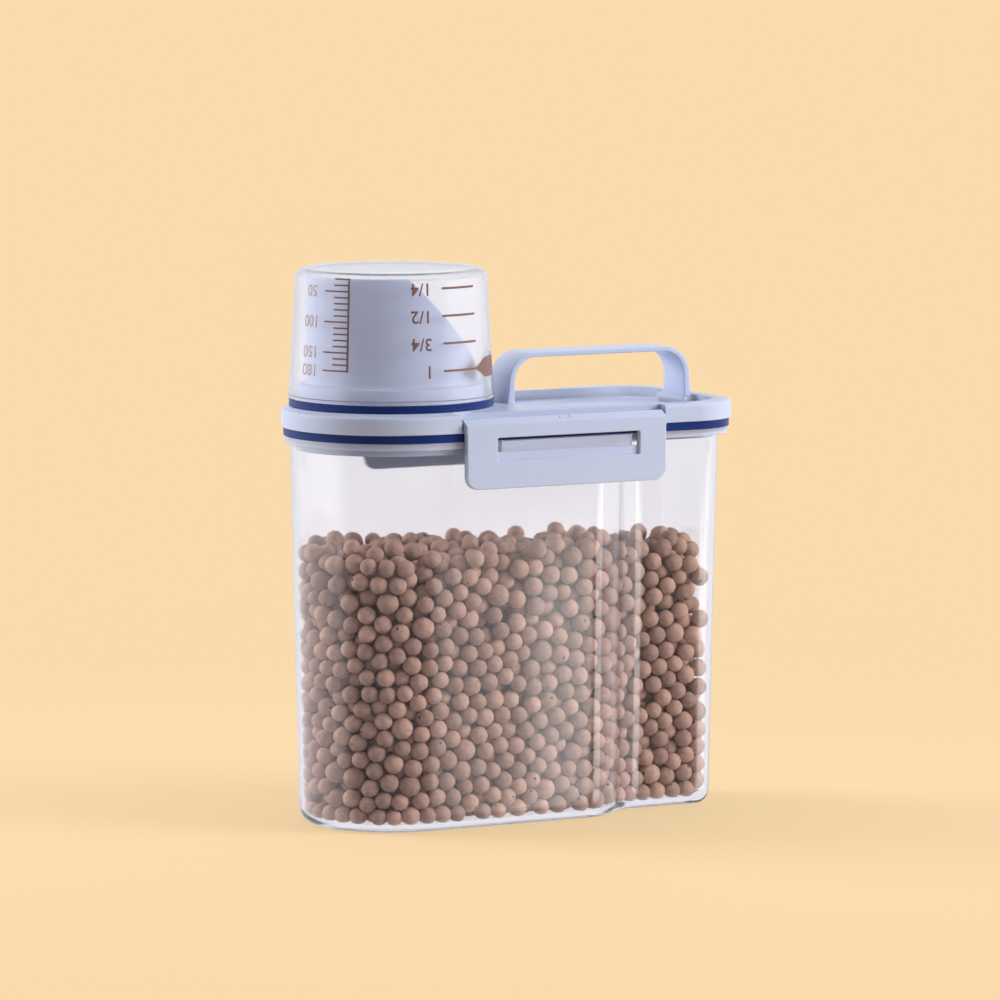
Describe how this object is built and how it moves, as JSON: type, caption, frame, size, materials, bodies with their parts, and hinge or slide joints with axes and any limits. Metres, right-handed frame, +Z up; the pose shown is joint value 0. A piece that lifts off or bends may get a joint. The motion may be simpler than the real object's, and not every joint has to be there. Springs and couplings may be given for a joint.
{
  "type": "pet food storage container",
  "caption": "Clear upright dry-food keeper with a narrow hand grip, latched lid with carry handle, slant-cut pouring spout and a measuring cup that caps it.",
  "frame": {"origin": "middle of the bounding box on the plane that the foot ring rests on", "axes": "+Z up; X along the length with the spout and cup at -X and the hand grip at +X; +Y towards the back latch"},
  "size_m": [0.2, 0.1006, 0.2404],
  "materials": {
    "clear_plastic": "clear moulded plastic, glossy",
    "clear_cup_plastic": "clear moulded plastic with a printed scale",
    "lilac_plastic": "satin moulded plastic, pale lilac blue",
    "blue_silicone": "matt silicone",
    "dry_food": "matt baked pellets",
    "pin_steel": "drawn stainless wire"
  },
  "bodies": {
    "base": {"container_body": "clear_plastic", "food_fill": "dry_food"},
    "cover": {"lid": "lilac_plastic", "lid_seal": "blue_silicone", "pour_spout": "lilac_plastic", "spout_seal": "blue_silicone", "carry_handle": "lilac_plastic"},
    "cup": {"measuring_cup": "clear_cup_plastic"},
    "front_pin": {"front_hinge_pin": "pin_steel"},
    "back_pin": {"back_hinge_pin": "pin_steel"},
    "front_clip": {"front_latch": "lilac_plastic"},
    "back_clip": {"back_latch": "lilac_plastic"}
  },
  "joints": [
    {"name": "lid_lift", "type": "slide", "parent": "base", "child": "cover", "axis": [0, 0, 1], "range_m": [0, 0.02]},
    {"name": "cup_lift", "type": "slide", "parent": "cover", "child": "cup", "axis": [0, 0, 1], "range_m": [0, 0.065]},
    {"name": "front_pin_turn", "type": "hinge", "parent": "cover", "child": "front_pin", "pos_m": [0.0068, -0.0456, 0.1756], "axis": [-1, 0, 0], "range_deg": [0, 52]},
    {"name": "back_pin_turn", "type": "hinge", "parent": "cover", "child": "back_pin", "pos_m": [0.0068, 0.0456, 0.1756], "axis": [1, 0, 0], "range_deg": [0, 52]},
    {"name": "front_latch_turn", "type": "hinge", "parent": "front_pin", "child": "front_clip", "pos_m": [0.0068, -0.0456, 0.1756], "axis": [-1, 0, 0], "range_deg": [0, 80]},
    {"name": "back_latch_turn", "type": "hinge", "parent": "back_pin", "child": "back_clip", "pos_m": [0.0068, 0.0456, 0.1756], "axis": [1, 0, 0], "range_deg": [0, 80]}
  ],
  "couplings": [
    {"joint": "front_pin_turn", "follows": "lid_lift", "rad_per_m": 45},
    {"joint": "back_pin_turn", "follows": "lid_lift", "rad_per_m": 45}
  ]
}
